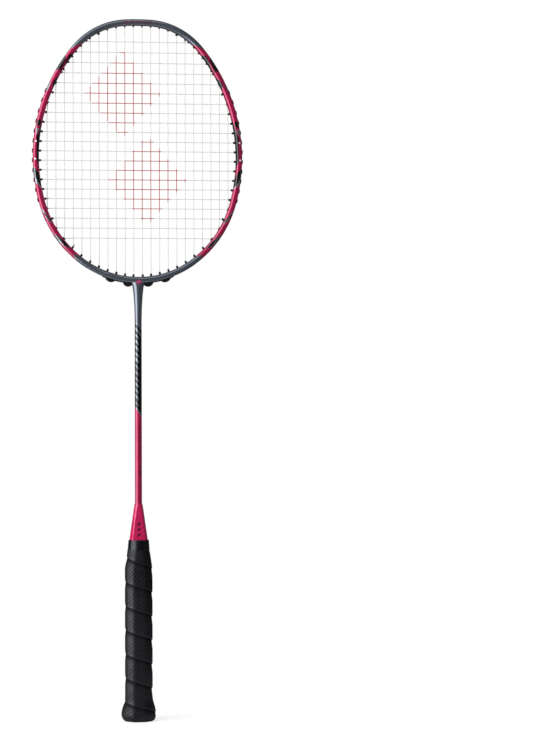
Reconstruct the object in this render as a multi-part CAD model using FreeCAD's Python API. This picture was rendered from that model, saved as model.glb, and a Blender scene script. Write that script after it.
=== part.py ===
import FreeCAD, Part
import math
import os

"""A badminton racket, standing on its butt, 675 mm long, with each real piece as its own solid.

The frame is millimetres with +Z up the shaft, X across the face and Y through the face.  The origin is the
middle of the butt's end.  A hollow hoop carries 22 main strings and 21 cross strings through 76 drilled
holes, each lined with a grommet.  A resin T joins the hoop to a tubular shaft, which is bonded into a wooden
handle with a moulded cone, a flared butt, a wrapped grip and a band of finishing tape.
"""

Vector = FreeCAD.Vector
UP = Vector(0, 0, 1)
THROUGH = Vector(0, 1, 0)

# --- driving dimensions ---
TOP_OF_HEAD = 675.0
WALL = 1.1

# The hoop's centreline, right half: (radius, degrees of turn), from the middle of the top down.  The last
# radius closes the curve on the racket's axis.
HOOP_ARCS = [(223.6, 2.9), (67.9, 47.6), (165.1, 55.5), (103.4, 38.3)]
HOOP_HALF_WIDTH = 2.95    # from the centreline to the inner and the outer edge, across the face
HOOP_HALF_DEPTH = 5.1     # from the string plane to the front and the back
HOOP_ROUNDING = (2.8, 2.6)  # of the inner corners and the outer ones
GROOVE_DEPTH = 1.3        # the channel round the outside, where the string runs
GROOVE_HALF_WIDTH = 1.5
GROOVE_FLARE = 0.5

MAIN_COUNT = 22
MAIN_PITCH = 8.3
CROSS_COUNT = 21
CROSS_PITCH = 9.12        # at the closest point, growing with the cube of the distance from it
CROSS_SPREAD = 0.0029
CROSS_CLOSEST = 12        # the index of the cross string at the closest point, counted from the top
CROSS_CLOSEST_Z = 538.7
STRING_RADIUS = 0.34
STRING_PLANE = 0.36       # the mains lie this far behind the middle plane and the crosses this far in front
STRING_BEND = 1.1         # where the string turns from a hole into the groove
STRING_EASE = 2.0         # where it leaves a grommet's mouth
SHARED_EASE = 0.8         # where it leaves a shared one, whose main comes in steeply
TAIL = 0.6                # a tied end, out of the grommet's mouth
KNOT_RADIUS = 0.95
KNOT_MIDDLE = 1.45        # from the mouth

# Barrels of the grommets: {kind: (outer radius, bore radius, reach out of the hoop's inner edge)}.
BARRELS = {
    "red": (0.98, 0.7, 1.4),
    "short": (1.1, 0.75, 1.15),
    "thick": (1.35, 0.75, 1.8),
    "saddle": (1.1, 0.75, 2.1),
    "long": (1.1, 0.75, 2.2),
    "strip": (1.1, 0.75, 2.3),
    "shared": (1.6, 1.15, 0.7),
}
HOLE_CLEARANCE = 0.03
NORMAL_SHARE = 0.68       # how much a hole follows the hoop's normal rather than its string
LOOP_CLEARANCE = 0.42     # under a loop, where it turns out of a flange, for the hoop to curve in below it
SHARED_SHIFT = 0.3        # how far each string of a shared hole lies from the middle, towards its own line
NOTCH_RADIUS = 0.42       # worn into a shared barrel's lip by each string
THROAT_LEAN = 13.0        # degrees that the two middle holes at the throat lean away from the neck
FLANGE_RADIUS = 1.45
FLANGE_THICKNESS = 0.3
SADDLE_LENGTH = 4.4       # the side grommets' saddles, along the hoop
SADDLE_TOP = 0.75         # how far they stand proud of the hoop
SLOT_HALF_WIDTH = 0.8
HUMP_HALF_LENGTH = 5.2    # of the throat strips' humps, along the hoop
HUMP_RISES = (4.1, 3.1)   # of the inner and the outer one, above the hoop's outer edge
HUMP_HALF_DEPTH = 2.3
BAND_TOP = 0.8            # the strips' band, above the hoop's outer edge
POCKET_DEPTH = 0.9        # in the neck, past the corner where an inner main turns into its loop

# Holes that a main and a cross share: {place of the main from the edge: place of the cross from the top}.
SHARED_TOP = {0: 6, 1: 4}
SHARED_BOTTOM = {0: 17, 1: 19, 2: 20}
RED_MAINS = range(7, 15)  # the slim grommets in the middle of the top
STRIP_MAINS = range(7, 15)  # the mains that the two throat strips carry
THICK_TOP_MAIN = 6        # the first black grommet beside the slim ones, from either edge
SHOULDER_CROSSES = 4      # the top crosses, whose grommets are short
SADDLE_CROSSES = range(5, 18)
SADDLED_SHARED = [6]      # the cross whose shared grommet has a saddle too
SIDE_TIE = 16             # the cross whose grommets the ends of the mains are tied at
TOP_TIE = 16              # the main whose top grommet the crosses start at
LOW_TIE = 3               # and the one whose bottom grommet they end at

SHAFT_RADIUS = 3.35
SHAFT_BORE = 2.5
SHAFT_TOP = 386.2
SHAFT_BOTTOM = 110.0
STEM_BOTTOM = 356.0
T_BAR_SPREAD = 6.2        # degrees of the hoop that the resin T's bar fills on each side
# The neck: (how far below the hoop's outer edge, half width, half depth).
NECK_STAGES = [
    (35.0, 3.36, 3.35),
    (28.0, 3.52, 3.5),
    (21.0, 3.8, 3.75),
    (15.0, 4.18, 4.05),
    (9.5, 4.65, 4.35),
    (5.0, 5.2, 4.65),
    (2.0, 5.85, 4.9),
    (-0.7, 7.3, 5.0),
    (-2.9, 9.4, 5.0),
]
GLUE_GAP = 0.03

CONE_TOP = 208.8
CONE_EDGE = 174.1         # where the finishing tape starts
CONE_EDGE_RADIUS = 8.85
CONE_SKIRT = 162.0
CONE_SKIRT_RADIUS = 9.4
SPIGOT_TOP = 193.0
TAPE_BOTTOM = 164.1
HANDLE_BEND = 146.0       # the handle is straight below this
GRIP = (26.1, 24.6, 6.3)  # width, depth and bevel of the wrapped handle
WRAP = 1.7                # the grip tape's thickness
CORE = (GRIP[0] - 2 * WRAP, GRIP[1] - 2 * WRAP, GRIP[2] - 0.6 * WRAP)  # of the wood inside it
SPIGOT_RADII = (6.2, 4.1)  # of the cone's inside, at its skirt and at the spigot's top
LIGHTENING_RADIUS = 4.5
BUTT_CAP_TOP = 24.0
BUTT_FLOOR = 6.0
PLATE_RADIUS = 9.9
PLATE_RECESS = 0.8

PARTS = "parts"


# --- the hoop's curve ---
def hoop_arcs():
    """[(centre x, centre z, radius, first heading, last heading)] of the right half, headings in radians.

    The heading is 0 at the top, pi/2 at the side and pi at the throat, and the outward normal there is
    (sin, cos) of it.
    """
    turned, x = 0.0, 0.0
    for radius, turn in HOOP_ARCS:
        end = turned + math.radians(turn)
        x += radius * (math.sin(end) - math.sin(turned))
        turned = end
    closing = [(x / math.sin(turned), 180.0 - math.degrees(turned))]
    arcs, heading = [], 0.0
    at_x, at_z = 0.0, TOP_OF_HEAD - HOOP_HALF_WIDTH
    for radius, turn in HOOP_ARCS + closing:
        centre_x = at_x - radius * math.sin(heading)
        centre_z = at_z - radius * math.cos(heading)
        end = heading + math.radians(turn)
        arcs.append((centre_x, centre_z, radius, heading, end))
        at_x = centre_x + radius * math.sin(end)
        at_z = centre_z + radius * math.cos(end)
        heading = end
    return arcs


ARCS = hoop_arcs()
THROAT_Z = ARCS[-1][1] - ARCS[-1][2]
GROOVE_FLOOR = HOOP_HALF_WIDTH - GROOVE_DEPTH


def outward(heading, side):
    return Vector(side * math.sin(heading), 0, math.cos(heading))


def hoop_point(heading, offset, side=1):
    """The point at a heading, offset outwards from the centreline; side is 1 right and -1 left."""
    for centre_x, centre_z, radius, first, last in ARCS:
        if heading <= last + 1e-9:
            break
    return Vector(side * centre_x, 0, centre_z) + outward(heading, side) * (radius + offset)


def place_on_hoop(point):
    """(heading, offset, side) of a point near the hoop."""
    side = -1 if point.x < 0 else 1
    for centre_x, centre_z, radius, first, last in ARCS:
        dx, dz = abs(point.x) - centre_x, point.z - centre_z
        heading = math.atan2(dx, dz)
        if heading < 0:
            heading += 2 * math.pi
        if heading <= last + 1e-9:
            break
    return heading, math.hypot(dx, dz) - radius, side


def heading_at_x(x, offset, top):
    """Where the offset curve crosses a vertical line on the right, above the widest point or below it."""
    for centre_x, centre_z, radius, first, last in ARCS:
        sine = (x - centre_x) / (radius + offset)
        if abs(sine) <= 1:
            heading = math.asin(sine) if top else math.pi - math.asin(sine)
            if first - 1e-6 <= heading <= last + 1e-6:
                return heading
    raise ValueError(f"no hoop at x = {x}")


def heading_at_z(z, offset):
    for centre_x, centre_z, radius, first, last in ARCS:
        cosine = (z - centre_z) / (radius + offset)
        if abs(cosine) <= 1:
            heading = math.acos(cosine)
            if first - 1e-6 <= heading <= last + 1e-6:
                return heading
    raise ValueError(f"no hoop at z = {z}")


# --- general shapes ---
def rounded_wire(corners, place):
    """A closed wire through (u, v, radius) corners, rounded; place(u, v) gives a point in space."""
    edges, joints = [], []
    count = len(corners)
    for i, (u, v, radius) in enumerate(corners):
        here = Vector(u, v, 0)
        back = Vector(*corners[i - 1][:2], 0) - here
        ahead = Vector(*corners[(i + 1) % count][:2], 0) - here
        back.normalize()
        ahead.normalize()
        half = back.getAngle(ahead) / 2
        if radius <= 0:
            joints.append((here, None, here))
            continue
        middle = back + ahead
        middle.normalize()
        reach = radius / math.tan(half)
        deep = radius / math.sin(half) - radius
        joints.append((here + back * reach, here + middle * deep, here + ahead * reach))
    for i, (start, middle, end) in enumerate(joints):
        if middle is not None:
            edges.append(Part.Arc(place(*start[:2]), place(*middle[:2]), place(*end[:2])).toShape())
        following = joints[(i + 1) % count][0]
        if (following - end).Length > 1e-6:
            edges.append(Part.makeLine(place(*end[:2]), place(*following[:2])))
    return Part.Wire(edges)


def octagon(width, depth, bevel, z, rounding=1.8):
    """A rounded octagon lying flat at height z, with 45 degree bevels."""
    x, y = width / 2, depth / 2
    points = [(x - bevel, -y), (x, bevel - y), (x, y - bevel), (x - bevel, y)]
    points += [(-px, -py) for px, py in points]
    return rounded_wire([(px, py, rounding) for px, py in points], lambda u, v: Vector(u, v, z))


def octagon_loft(sections):
    """A solid with flat-sided stages between (z, width, depth, bevel) sections."""
    return Part.makeLoft([octagon(w, d, b, z) for z, w, d, b in sections], True, True)


def turned(profile):
    """A solid turned about the shaft's axis from (radius, z) points."""
    points = [Vector(r, 0, z) for r, z in profile]
    face = Part.Face(Part.makePolygon(points + points[:1]))
    return face.revolve(Vector(0, 0, 0), UP, 360)


def swept_round(points, bends, radius):
    """A round rod along straight runs joined by arcs; bends gives each inner corner's radius."""
    edges, at = [], points[0]
    for i in range(1, len(points) - 1):
        back = points[i - 1] - points[i]
        ahead = points[i + 1] - points[i]
        back.normalize()
        ahead.normalize()
        half = back.getAngle(ahead) / 2
        if math.pi / 2 - half < 1e-4:
            continue
        bend = bends[i - 1]
        start = points[i] + back * (bend / math.tan(half))
        end = points[i] + ahead * (bend / math.tan(half))
        middle = back + ahead
        middle.normalize()
        middle = points[i] + middle * (bend / math.sin(half) - bend)
        edges.append(Part.makeLine(at, start))
        edges.append(Part.Arc(start, middle, end).toShape())
        at = end
    edges.append(Part.makeLine(at, points[-1]))
    path = Part.Wire(edges)
    ring = Part.Wire(Part.makeCircle(radius, points[0], points[1] - points[0]))
    pipe = Part.BRepOffsetAPI.MakePipeShell(path)
    pipe.setBiNormalMode(THROUGH)
    pipe.add(ring)
    pipe.build()
    pipe.makeSolid()
    return pipe.shape(), path.Length


def rod(start, end, radius):
    along = end - start
    return Part.makeCylinder(radius, along.Length, start, along)


def block(middle, normal, half_length, half_depth, height):
    """A box standing on the hoop's tangent at middle, along the outward normal."""
    along = THROUGH.cross(normal) * half_length
    across = THROUGH * half_depth
    corners = [middle + along + across, middle - along + across]
    corners += [middle - along - across, middle + along - across]
    return Part.Face(Part.makePolygon(corners + corners[:1])).extrude(normal * height)


def export(shapes, node):
    """Writes one node's STEP file from a solid or a list of separate solids."""
    shapes = shapes if isinstance(shapes, list) else [shapes]
    solids = [solid for shape in shapes for solid in shape.Solids]
    shape = solids[0] if len(solids) == 1 else Part.makeCompound(solids)
    shape.exportStep(f"{PARTS}/{node}.step")
    valid = all(solid.isValid() and solid.isClosed() for solid in solids)
    print(f"{node}: {len(solids)} solids, {shape.Volume / 1000:.3f} cm3, valid {valid}")
    return solids


# --- the hoop ---
def hoop_section():
    """(offset, y, rounding) corners of the hoop's outside, with the string groove in its outer edge."""
    edge, depth = HOOP_HALF_WIDTH, HOOP_HALF_DEPTH
    lip = GROOVE_HALF_WIDTH + GROOVE_FLARE
    half = [(GROOVE_FLOOR, GROOVE_HALF_WIDTH, 0.3), (edge, lip, 0.3)]
    half += [(edge, depth, HOOP_ROUNDING[1]), (-edge, depth, HOOP_ROUNDING[0])]
    return half + [(offset, -y, rounding) for offset, y, rounding in reversed(half)]


def cavity_section(inset=0.0):
    low = -HOOP_HALF_WIDTH + WALL + inset
    high = GROOVE_FLOOR - WALL - inset
    depth = HOOP_HALF_DEPTH - WALL - inset
    return [(high, depth, 0.9), (low, depth, 1.2), (low, -depth, 1.2), (high, -depth, 0.9)]


def round_hoop(sections, headings=None):
    """Solids of a section carried round the hoop, one for each arc, or between two throat headings."""
    pieces = []
    stretches = [(arc, side, arc[3], arc[4]) for arc in ARCS[1:-1] for side in (1, -1)]
    stretches.append((ARCS[0], 1, -ARCS[0][4], ARCS[0][4]))
    stretches.append((ARCS[-1], 1, ARCS[-1][3], 2 * math.pi - ARCS[-1][3]))
    if headings:
        stretches = [(ARCS[-1], 1, headings[0], headings[1])]
    for (centre_x, centre_z, radius, _, _), side, first, last in stretches:
        centre = Vector(side * centre_x, 0, centre_z)

        def place(offset, y):
            return centre + outward(first, side) * (radius + offset) + THROUGH * y

        wires = [rounded_wire(section, place) for section in sections]
        face = Part.Face(wires)
        pieces.append(face.revolve(centre, THROUGH * side, math.degrees(last - first)))
    return pieces


def fused(pieces):
    whole = pieces[0]
    if len(pieces) > 1:
        whole = pieces[0].multiFuse(pieces[1:])
    return whole.Solids[0]


# --- the holes ---
class Hole:
    """One drilled hole: its axis from the grommet's inner mouth to the groove, and what fills it."""

    def __init__(self, mouth, string_way, kind, lean=0.0, saddled=False):
        heading, _, side = place_on_hoop(mouth)
        way = outward(heading, side) * NORMAL_SHARE + string_way * (1 - NORMAL_SHARE)
        way = FreeCAD.Rotation(THROUGH, lean).multVec(way)
        way.normalize()
        self.mouth, self.way, self.kind, self.saddled = mouth, way, kind, saddled
        self.barrel_radius, self.bore_radius, _ = BARRELS[kind]
        self.floor = self.at_offset(GROOVE_FLOOR)
        self.turn = self.at_offset(GROOVE_FLOOR + FLANGE_THICKNESS + STRING_RADIUS + LOOP_CLEARANCE)
        self.floor_heading, _, self.side = place_on_hoop(self.floor)

    def at_offset(self, offset):
        """The point of the hole's axis at an offset from the hoop's centreline."""
        reach = 0.0
        for _ in range(6):
            _, found, _ = place_on_hoop(self.mouth + self.way * reach)
            reach += offset - found
        return self.mouth + self.way * reach

    def drill(self):
        return rod(self.mouth - self.way, self.turn + self.way * 2, self.barrel_radius + HOLE_CLEARANCE)


def main_x(index):
    return (index - (MAIN_COUNT - 1) / 2) * MAIN_PITCH


def cross_z(index):
    steps = CROSS_CLOSEST - index
    return CROSS_CLOSEST_Z + CROSS_PITCH * steps + CROSS_SPREAD * steps**3


def mouth_offset(kind):
    return -HOOP_HALF_WIDTH - BARRELS[kind][2]


def mouth_on_main(index, kind, top):
    x = main_x(index)
    heading = heading_at_x(abs(x), mouth_offset(kind), top)
    return hoop_point(heading, mouth_offset(kind), -1 if x < 0 else 1)


def mouth_on_both(main, cross):
    """Where a main and a cross meet, moved in along the normal until a shared barrel stands out enough."""
    meeting = Vector(main_x(main), 0, cross_z(cross))
    heading, offset, side = place_on_hoop(meeting)
    return meeting - outward(heading, side) * max(offset - mouth_offset("shared"), 0)


def kind_on_main(from_edge, top):
    if from_edge in (SHARED_TOP if top else SHARED_BOTTOM):
        return "shared"
    if from_edge in STRIP_MAINS:
        return "red" if top else "strip"
    if from_edge == THICK_TOP_MAIN and top:
        return "thick"
    return "short" if top else "long"


def make_holes():
    """{("main", index, top): Hole} and {("cross", index, side): Hole}; a shared hole is under both names."""
    holes = {}
    for index in range(MAIN_COUNT):
        from_edge = min(index, MAIN_COUNT - 1 - index)
        side = -1 if main_x(index) < 0 else 1
        for top, shared in ((True, SHARED_TOP), (False, SHARED_BOTTOM)):
            kind = kind_on_main(from_edge, top)
            way = UP if top else -UP
            if kind == "shared":
                cross = shared[from_edge]
                way = (way + Vector(side, 0, 0)).normalize()
                mouth, saddled = mouth_on_both(index, cross), cross in SADDLED_SHARED
                holes["main", index, top] = Hole(mouth, way, kind, saddled=saddled)
                holes["cross", cross, side] = holes["main", index, top]
                continue
            innermost = kind == "strip" and from_edge == MAIN_COUNT // 2 - 1
            lean = -side * THROAT_LEAN if innermost else 0.0
            holes["main", index, top] = Hole(mouth_on_main(index, kind, top), way, kind, lean)
    for index in range(CROSS_COUNT):
        kind = "short" if index < SHOULDER_CROSSES else "saddle" if index in SADDLE_CROSSES else "long"
        heading = heading_at_z(cross_z(index), mouth_offset(kind))
        for side in (-1, 1):
            mouth = hoop_point(heading, mouth_offset(kind), side)
            hole = Hole(mouth, Vector(side, 0, 0), kind, saddled=kind == "saddle")
            holes.setdefault(("cross", index, side), hole)
    return holes


HOLES = make_holes()
DISTINCT = list(dict.fromkeys(HOLES.values()))


# --- grommets ---
def countersink(hole):
    """The flared mouth that lets the string turn out of a bore into the groove."""
    deep = hole.turn - hole.way * 1.5
    return Part.makeCone(hole.bore_radius - 0.05, GROOVE_HALF_WIDTH, 1.7, deep, hole.way)


def bore(hole):
    return rod(hole.mouth - hole.way, hole.turn + hole.way, hole.bore_radius)


def barrel(hole):
    """The tube that lines a hole, with its inner lip chamfered."""
    tube = rod(hole.mouth, hole.floor + hole.way * 0.2, hole.barrel_radius)
    lip = min(tube.Edges, key=lambda edge: (edge.CenterOfMass - hole.mouth).Length)
    return tube.makeChamfer(0.2, [lip])


def flange(hole, half_length, half_depth, height):
    """A pad in the groove with rounded ends, standing on the groove's floor at a hole."""
    normal = outward(hole.floor_heading, hole.side)
    middle = hoop_point(hole.floor_heading, GROOVE_FLOOR, hole.side)
    straight = max(half_length - half_depth, 0.01)
    along = THROUGH.cross(normal) * straight
    pad = block(middle, normal, straight, half_depth, height)
    for end in (middle + along, middle - along):
        pad = pad.fuse(Part.makeCylinder(half_depth, height, end, normal))
    return pad.removeSplitter()


def grommet(hole):
    half = GROOVE_HALF_WIDTH - 0.05
    if hole.saddled:
        base = flange(hole, SADDLE_LENGTH / 2, half, GROOVE_DEPTH + SADDLE_TOP)
        normal = outward(hole.floor_heading, hole.side)
        low = hoop_point(hole.floor_heading, GROOVE_FLOOR + FLANGE_THICKNESS, hole.side)
        base = base.cut(block(low, normal, SADDLE_LENGTH, SLOT_HALF_WIDTH, 5))
    else:
        long = max(FLANGE_RADIUS, hole.barrel_radius + 0.35)
        base = flange(hole, long, half, FLANGE_THICKNESS)
    whole = base.fuse(barrel(hole)).cut(bore(hole)).cut(countersink(hole))
    if hole.kind == "shared":
        for axis, y in ((Vector(0, 0, 1), STRING_PLANE), (Vector(1, 0, 0), -STRING_PLANE)):
            inwards = -axis if hole.way.dot(axis) > 0 else axis
            start = string_rest(hole, axis) + THROUGH * y
            whole = whole.cut(rod(start - inwards, start + inwards * 5, NOTCH_RADIUS))
    return max(whole.Solids, key=lambda solid: solid.Volume)


def right_throat_strip(hoop):
    """(strip, the room it takes): four barrels on one band, with a hump over each string loop."""
    holes = [HOLES["main", i, False] for i in STRIP_MAINS if main_x(i) > 0]
    holes.sort(key=lambda hole: abs(hole.mouth.x))
    radius = ARCS[-1][2]
    first = math.pi - 5.4 / radius
    last = math.pi - (abs(holes[-1].floor.x) + 3.2) / radius
    half = GROOVE_HALF_WIDTH - 0.05
    top = HOOP_HALF_WIDTH + BAND_TOP
    band_section = [(GROOVE_FLOOR, half, 0.1), (top, half, 0.3)]
    band_section += [(top, -half, 0.3), (GROOVE_FLOOR, -half, 0.1)]
    pieces = round_hoop([band_section], (last, first))
    channels = []
    for (inner, outer), rise in zip((holes[0:2], holes[2:4]), HUMP_RISES):
        hump_radius = (HUMP_HALF_LENGTH**2 + rise**2) / (2 * rise)
        heading, _, _ = place_on_hoop((inner.floor + outer.floor) * 0.5)
        normal = outward(heading, 1)
        centre = hoop_point(heading, HOOP_HALF_WIDTH + rise - hump_radius)
        front = centre - THROUGH * HUMP_HALF_DEPTH
        hump = Part.makeCylinder(hump_radius, 2 * HUMP_HALF_DEPTH, front, THROUGH)
        hump = hump.makeFillet(0.8, [edge for edge in hump.Edges if edge.Closed])
        hump = hump.common(block(hoop_point(heading, GROOVE_FLOOR), normal, 9, 5, 9))
        pieces.append(hump.cut(hoop))
        low = (inner.turn + outer.turn) * 0.5 - normal * (STRING_RADIUS + 0.06)
        channels.append(block(low, normal, 8, SLOT_HALF_WIDTH, 6))
    room = fused(pieces)
    whole = fused([room] + [barrel(hole) for hole in holes])
    for cutter in channels + [bore(hole) for hole in holes] + [countersink(hole) for hole in holes]:
        whole = whole.cut(cutter)
    return max(whole.Solids, key=lambda solid: solid.Volume), room


# --- strings ---
def string_rest(hole, axis):
    """Where a string along axis bends at a hole's mouth; the two strings of a shared hole lie apart."""
    if hole.kind != "shared":
        return hole.mouth
    aside = hole.way - axis * hole.way.dot(axis)
    return hole.mouth + aside.normalize() * SHARED_SHIFT


def string_route(runs, first_tail, last_tail, axis):
    """(corners, bends) of one string in the middle plane, from the holes that it goes through in order."""
    corners, bends = [], []

    def through(hole, inwards):
        shared = hole.kind == "shared"
        ease = SHARED_EASE if shared else STRING_EASE
        points = [(hole.turn, STRING_BEND), (string_rest(hole, axis), ease)]
        for point, bend in points if inwards else reversed(points):
            corners.append(point)
            bends.append(bend)

    tie, exit_hole = first_tail
    corners.append(tie.mouth - tie.way * TAIL)
    through(tie, False)
    through(exit_hole, True)
    for start, end in runs:
        if start is not exit_hole:
            through(start, True)
        through(end, False)
    tie, exit_hole = last_tail
    through(tie, True)
    corners.append(tie.mouth - tie.way * TAIL)
    return corners, bends[: len(corners) - 2]


def main_string():
    """The mains: up and down between the top and the bottom, looping outside the hoop."""
    runs = []
    for index in range(MAIN_COUNT):
        ends = [HOLES["main", index, False], HOLES["main", index, True]]
        runs.append(ends if index % 2 == 0 else ends[::-1])
    first = (HOLES["cross", SIDE_TIE, -1], runs[0][0])
    last = (HOLES["cross", SIDE_TIE, 1], runs[-1][1])
    return string_route(runs, first, last, UP)


def cross_string():
    """The crosses: side to side from the top down, starting on the right and ending on the left."""
    runs = []
    for index in range(CROSS_COUNT):
        ends = [HOLES["cross", index, 1], HOLES["cross", index, -1]]
        runs.append(ends if index % 2 == 0 else ends[::-1])
    top_tie = HOLES["main", TOP_TIE, True]
    low_tie = HOLES["main", LOW_TIE, False]
    return string_route(runs, (top_tie, runs[0][0]), (low_tie, runs[-1][1]), Vector(1, 0, 0))


def build_string(route, y):
    corners, bends = route
    corners = [corner + THROUGH * y for corner in corners]
    return swept_round(corners, bends, STRING_RADIUS)


def knot(middle, strings):
    """The hitch on a tied end, a small round lump that the strings beside it run through."""
    lump = Part.makeSphere(KNOT_RADIUS, middle)
    for string in strings:
        lump = lump.cut(string)
    return max(lump.Solids, key=lambda solid: solid.Volume)


# --- throat and shaft ---
def t_joint():
    """The resin T: a bar inside the hoop's throat and a stem down into the shaft."""
    spread = math.radians(T_BAR_SPREAD)
    bar = round_hoop([cavity_section(GLUE_GAP)], (math.pi - spread, math.pi + spread))
    stem = rod(Vector(0, 0, STEM_BOTTOM), Vector(0, 0, THROAT_Z), SHAFT_BORE - GLUE_GAP)
    whole = fused(bar + [stem])
    for hole in DISTINCT:
        if abs(hole.mouth.x) < 15 and hole.mouth.z < THROAT_Z + 10:
            whole = whole.cut(hole.drill())
    return whole


def throat_neck(hoop_block, strip_rooms):
    """The moulded neck that flares from the shaft into the hoop, with room for strips and string turns."""
    rings = []
    for below, half_width, half_depth in NECK_STAGES:
        centre = Vector(0, 0, THROAT_Z - HOOP_HALF_WIDTH - below)
        curve = Part.Ellipse(centre + Vector(half_width, 0, 0), centre + Vector(0, half_depth, 0), centre)
        quarters = [(i * math.pi / 2, (i + 1) * math.pi / 2) for i in range(4)]
        rings.append(Part.Wire([Part.ArcOfEllipse(curve, a, b).toShape() for a, b in quarters]))
    neck = Part.makeLoft(rings, True, False)
    neck = neck.cut(hoop_block)
    neck = neck.cut(rod(Vector(0, 0, SHAFT_TOP - 1), Vector(0, 0, THROAT_Z), SHAFT_BORE))
    for room in strip_rooms:
        neck = neck.cut(room)
    for index in STRIP_MAINS:
        hole = HOLES["main", index, False]
        if abs(hole.floor.x) < NECK_STAGES[-1][1]:
            pocket_end = hole.turn + hole.way * POCKET_DEPTH
            neck = neck.cut(rod(hole.floor - hole.way, pocket_end, hole.barrel_radius + 2 * HOLE_CLEARANCE))
    return max(neck.Solids, key=lambda solid: solid.Volume)


def shaft_tube():
    outside = rod(Vector(0, 0, SHAFT_BOTTOM), Vector(0, 0, SHAFT_TOP), SHAFT_RADIUS)
    return outside.cut(rod(Vector(0, 0, SHAFT_BOTTOM), Vector(0, 0, SHAFT_TOP), SHAFT_BORE))


# --- handle ---
def cone_cap():
    """The moulded cone between shaft and grip, scooped flat on the front and the back."""
    bore_radius = SHAFT_RADIUS + GLUE_GAP
    outside = [(bore_radius, CONE_TOP), (3.7, CONE_TOP), (4.1, 206.9), (5.0, 201.1)]
    outside += [(CONE_EDGE_RADIUS, CONE_EDGE), (CONE_SKIRT_RADIUS, CONE_SKIRT)]
    outside += [(SPIGOT_RADII[0], CONE_SKIRT), (SPIGOT_RADII[1], SPIGOT_TOP), (bore_radius, SPIGOT_TOP)]
    cone = turned(outside)
    for side in (-1, 1):
        scoop = [Vector(0, side * 4.1, 204.7), Vector(0, side * 6.5, CONE_EDGE)]
        scoop += [Vector(0, side * 12, CONE_EDGE), Vector(0, side * 12, 212), Vector(0, side * 3.53, 212)]
        face = Part.Face(Part.makePolygon(scoop + scoop[:1]))
        cone = cone.cut(face.extrude(Vector(12, 0, 0))).cut(face.extrude(Vector(-12, 0, 0)))
    return cone


def handle_core():
    """The wooden handle: an octagon, a taper, and a spigot inside the cone, bored for the shaft."""
    core = octagon_loft([(BUTT_FLOOR, *CORE), (HANDLE_BEND, *CORE), (CONE_SKIRT, 18.6, 18.4, 5.4)])
    foot, tip = SPIGOT_RADII[0] - GLUE_GAP, SPIGOT_RADII[1] - GLUE_GAP
    spigot = [(0, CONE_SKIRT), (foot, CONE_SKIRT), (tip, SPIGOT_TOP), (0, SPIGOT_TOP)]
    core = core.fuse(turned(spigot))
    socket = rod(Vector(0, 0, SHAFT_BOTTOM), Vector(0, 0, SPIGOT_TOP + 1), SHAFT_RADIUS + GLUE_GAP)
    lightening = rod(Vector(0, 0, BUTT_FLOOR - 1), Vector(0, 0, SHAFT_BOTTOM - 8), LIGHTENING_RADIUS)
    passage = rod(Vector(0, 0, SHAFT_BOTTOM - 9), Vector(0, 0, SHAFT_BOTTOM + 1), SHAFT_BORE)
    return core.cut(socket).cut(lightening).cut(passage)


def butt_cap():
    """The flared plastic butt pressed over the handle's end, with a recess for the end plate."""
    cap = octagon_loft([
        (0.0, 26.0, 24.4, 7.4),
        (2.4, 28.8, 27.2, 8.0),
        (5.0, 29.9, 28.3, 8.3),
        (8.0, 29.8, 28.2, 8.2),
        (13.7, 27.2, 25.7, 7.2),
        (19.5, 24.0, 22.5, 5.9),
        (BUTT_CAP_TOP, 23.4, 21.9, 5.6),
    ])
    recess = rod(Vector(0, 0, -1), Vector(0, 0, PLATE_RECESS), PLATE_RADIUS + 0.1)
    pocket = octagon_loft([(BUTT_FLOOR, *CORE), (BUTT_CAP_TOP + 1, *CORE)])
    return cap.cut(pocket).cut(recess)


def grip_tape(inside):
    """The wrapped grip as one plain sleeve from the finishing tape to the butt's edge."""
    width, depth, bevel = GRIP
    sleeve = octagon_loft([
        (0.3, 27.2, 25.6, 7.7),
        (1.2, 29.8, 28.2, 8.2),
        (3.2, 32.4, 30.8, 8.8),
        (5.0, 33.3, 31.7, 9.0),
        (8.0, 33.2, 31.6, 9.0),
        (13.7, 30.6, 29.0, 8.0),
        (19.5, 27.0, 25.5, 6.8),
        (22.5, width, depth, bevel),
        (HANDLE_BEND, width, depth, bevel),
        (155.0, 23.7, 22.9, 6.4),
        (TAPE_BOTTOM, 21.0, 20.8, 6.1),
    ])
    for solid in inside:
        sleeve = sleeve.cut(solid)
    return max(sleeve.Solids, key=lambda solid: solid.Volume)


def finishing_tape():
    """The band round the cone's skirt, whose inside follows the skirt's slope."""
    down = (CONE_EDGE - TAPE_BOTTOM) / (CONE_EDGE - CONE_SKIRT)
    inside = CONE_EDGE_RADIUS + (CONE_SKIRT_RADIUS - CONE_EDGE_RADIUS) * down
    profile = [(inside, TAPE_BOTTOM), (10.45, TAPE_BOTTOM), (9.75, CONE_EDGE), (CONE_EDGE_RADIUS, CONE_EDGE)]
    return turned(profile)


def end_plate():
    """A disc flush with the butt's end, with a ring cut into it."""
    plate = Part.makeCylinder(PLATE_RADIUS, PLATE_RECESS - 0.05)
    return plate.cut(Part.makeTorus(PLATE_RADIUS - 1.6, 0.25))


# --- all of it ---
def grommet_groups():
    """{node: holes} for the separate grommets; the throat strips carry the rest."""
    groups = {}
    for (family, index, where), hole in HOLES.items():
        side = "left" if hole.mouth.x < 0 else "right"
        if hole.kind == "strip":
            continue
        if hole.kind == "red":
            node = "grommets_top_middle"
        elif family == "main":
            node = f"grommets_{'top' if where else 'bottom'}_{side}"
        elif hole.kind == "shared":
            continue
        else:
            node = f"grommets_side_{side}"
        groups.setdefault(node, []).append(hole)
    return groups


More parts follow.
